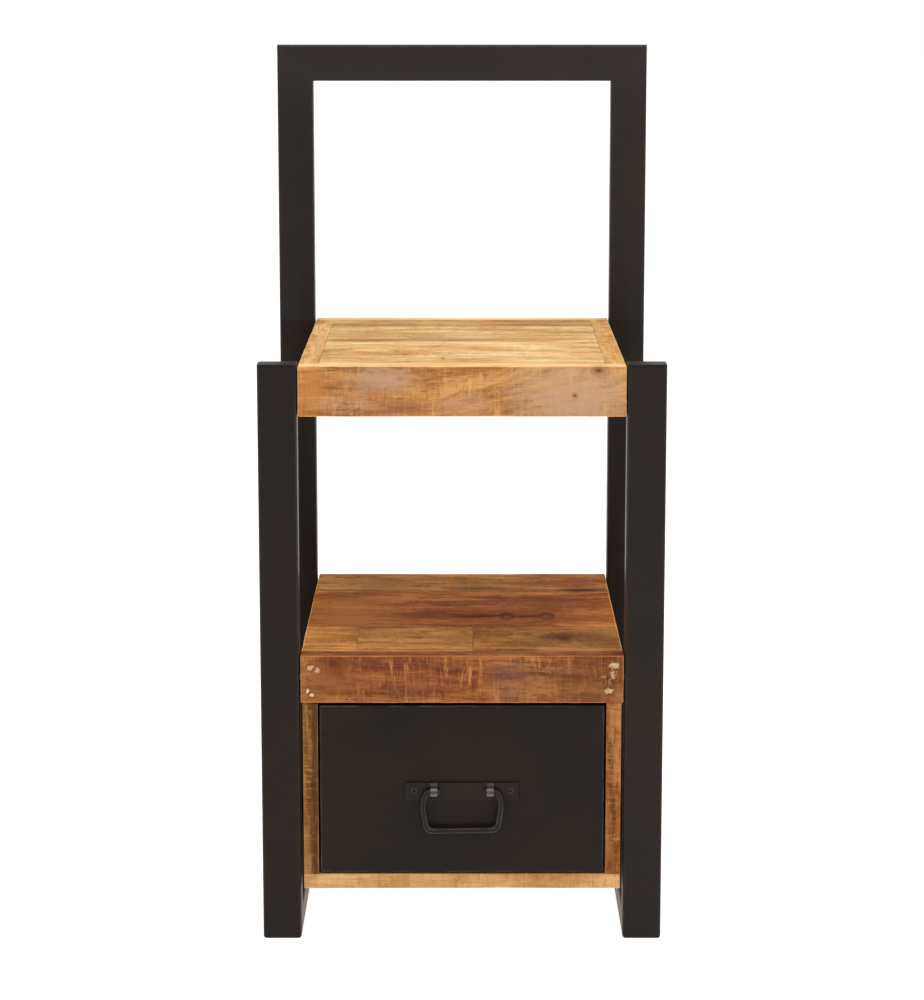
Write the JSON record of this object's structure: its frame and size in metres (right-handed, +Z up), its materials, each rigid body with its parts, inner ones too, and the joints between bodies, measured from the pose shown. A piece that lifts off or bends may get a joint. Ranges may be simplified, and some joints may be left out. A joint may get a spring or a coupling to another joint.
{
  "type": "side table with drawer",
  "caption": "Slim two-level side table: black steel side frames, an upright rear frame, a plank shelf, and a plank cabinet whose steel-faced drawer has a hanging bail handle.",
  "frame": {"origin": "bottom centre of the whole object's box, on the floor", "axes": "+Z up; the drawer and its handle face -Y; +X is the right side seen from the front"},
  "size_m": [0.4, 0.4105, 0.88],
  "materials": {
    "steel": "satin black powder coat",
    "drawer_skin": "satin black sheet steel",
    "handle_iron": "rough black iron",
    "zinc": "bright zinc plate",
    "black_screw": "black oxide",
    "pale_wood": "pale golden mango wood, satin lacquer",
    "amber_wood": "amber rough-sawn mango wood, satin lacquer",
    "brown_wood": "brown mango wood, satin lacquer",
    "red_wood": "red-brown rough-sawn mango wood, satin lacquer",
    "plain_wood": "plain sanded wood",
    "plywood": "thin plywood"
  },
  "bodies": {
    "frame": {"cabinet_back": "plain_wood", "cabinet_bottom": "pale_wood", "cabinet_side_left": "brown_wood", "cabinet_side_right": "brown_wood", "cabinet_top_front_board": "red_wood", "cabinet_top_front_plank_left": "brown_wood", "cabinet_top_front_plank_middle": "brown_wood", "cabinet_top_front_plank_right": "brown_wood", "cabinet_top_left_rail": "brown_wood", "cabinet_top_middle_plank": "brown_wood", "cabinet_top_rear_plank": "brown_wood", "cabinet_top_rear_rail": "brown_wood", "cabinet_top_right_rail": "brown_wood", "drawer_runner_left": "plain_wood", "drawer_runner_right": "plain_wood", "foot_rail_left": "steel", "foot_rail_right": "steel", "front_leg_cap_left": "steel", "front_leg_cap_right": "steel", "front_leg_left": "steel", "front_leg_right": "steel", "lower_bolt_front_left": "zinc", "lower_bolt_front_right": "zinc", "lower_bolt_rear_left": "zinc", "lower_bolt_rear_right": "zinc", "post_spigot_left": "zinc", "post_spigot_right": "zinc", "rear_leg_left": "steel", "rear_leg_right": "steel", "seam_screw_lower_left": "black_screw", "seam_screw_lower_right": "black_screw", "seam_screw_upper_left": "black_screw", "seam_screw_upper_right": "black_screw", "top_rail": "steel", "upper_bolt_front_left": "zinc", "upper_bolt_front_right": "zinc", "upper_bolt_rear_left": "zinc", "upper_bolt_rear_right": "zinc", "upper_post_left": "steel", "upper_post_right": "steel", "upper_shelf_front_board": "amber_wood", "upper_shelf_left_board": "pale_wood", "upper_shelf_plank_front": "pale_wood", "upper_shelf_plank_middle": "pale_wood", "upper_shelf_plank_rear": "pale_wood", "upper_shelf_rear_board": "amber_wood", "upper_shelf_right_board": "pale_wood"},
    "drawer": {"drawer_back": "plain_wood", "drawer_bottom": "plywood", "drawer_front_core": "plain_wood", "drawer_front_skin": "drawer_skin", "drawer_side_left": "plain_wood", "drawer_side_right": "plain_wood", "handle_lug_left": "handle_iron", "handle_lug_right": "handle_iron", "handle_plate": "handle_iron", "handle_screw_left": "handle_iron", "handle_screw_right": "handle_iron"},
    "bail": {"handle_bail": "handle_iron"}
  },
  "joints": [
    {"name": "drawer_slide", "type": "slide", "parent": "frame", "child": "drawer", "axis": [0, -1, 0], "range_m": [0, 0.26]},
    {"name": "bail_hinge", "type": "hinge", "parent": "drawer", "child": "bail", "pos_m": [0, -0.2008, 0.154], "axis": [-1, 0, 0], "range_deg": [-4, 178]}
  ]
}
